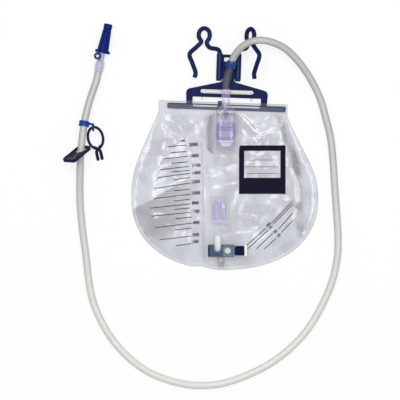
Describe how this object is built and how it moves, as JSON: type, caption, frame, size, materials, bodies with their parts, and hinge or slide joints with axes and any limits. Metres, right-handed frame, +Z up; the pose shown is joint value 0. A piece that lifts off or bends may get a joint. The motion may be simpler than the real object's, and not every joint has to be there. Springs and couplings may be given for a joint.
{
  "type": "urine drainage bag",
  "caption": "Flat clear drainage bag lying on its back, with swivelling bed hooks, drip chamber, slide outlet valve and a long tube ending in a capped sample port.",
  "frame": {"origin": "on the surface it lies on, under the middle of the bag, at the back film's flat underside", "axes": "+Y from the bag's foot to its hooks, +Z up out of the front film, +X to the right seen from the front"},
  "size_m": [0.3683, 0.4847, 0.0407],
  "materials": {
    "film": "clear soft PVC film",
    "tubing": "clear soft PVC tubing",
    "navy": "satin moulded plastic",
    "blue": "satin moulded plastic",
    "string": "twisted white cord",
    "clear": "clear moulding with a violet tint",
    "soft_clear": "soft translucent valve",
    "steel_blue": "translucent blue moulding",
    "cream": "cream moulding",
    "white": "white moulding",
    "filter": "porous white disc",
    "seal": "black elastomer",
    "septum": "pale elastomer",
    "clamp": "dark ribbed moulding"
  },
  "bodies": {
    "root": {"back_film": "film", "front_film": "film", "hanger_frame": "navy", "hanging_cord": "string", "tube_clip": "blue", "chamber_dome": "clear", "chamber_body": "clear", "drip_nozzle": "clear", "reflux_valve": "soft_clear", "chamber_flange": "film", "vent_patch": "film", "vent_cover": "clear", "vent_filter": "filter", "valve_body": "steel_blue", "inlet_stub": "cream", "valve_dial": "cream", "outlet_spout": "cream", "drainage_tube": "tubing", "port_connector": "clear", "port_collar": "blue", "port_septum": "septum", "catheter_adapter": "clear", "sheet_clip": "clamp", "tube_band": "blue"},
    "left_hook": {"left_hook": "navy"},
    "right_hook": {"right_hook": "navy"},
    "slider": {"valve_slider": "navy", "slider_seal": "seal", "slider_tip": "white"},
    "cap": {"protective_cap": "blue"},
    "clamp": {"slide_clamp": "clamp"}
  },
  "joints": [
    {"name": "left_hook_swivel", "type": "hinge", "parent": "root", "child": "left_hook", "pos_m": [-0.00721, 0.10826, 0.0042], "axis": [0.0349, 0.9994, 0], "range_deg": [-90, 90]},
    {"name": "right_hook_swivel", "type": "hinge", "parent": "root", "child": "right_hook", "pos_m": [0.01758, 0.1074, 0.0042], "axis": [0.0349, 0.9994, 0], "range_deg": [0, 138]},
    {"name": "slider_pull", "type": "slide", "parent": "root", "child": "slider", "axis": [1, 0, 0], "range_m": [0, 0.008]},
    {"name": "cap_pull", "type": "slide", "parent": "root", "child": "cap", "axis": [0.2079, 0.9781, 0], "range_m": [0, 0.045]},
    {"name": "clamp_travel", "type": "slide", "parent": "root", "child": "clamp", "axis": [-0.0575, -0.9983, 0], "range_m": [0, 0.006]}
  ]
}
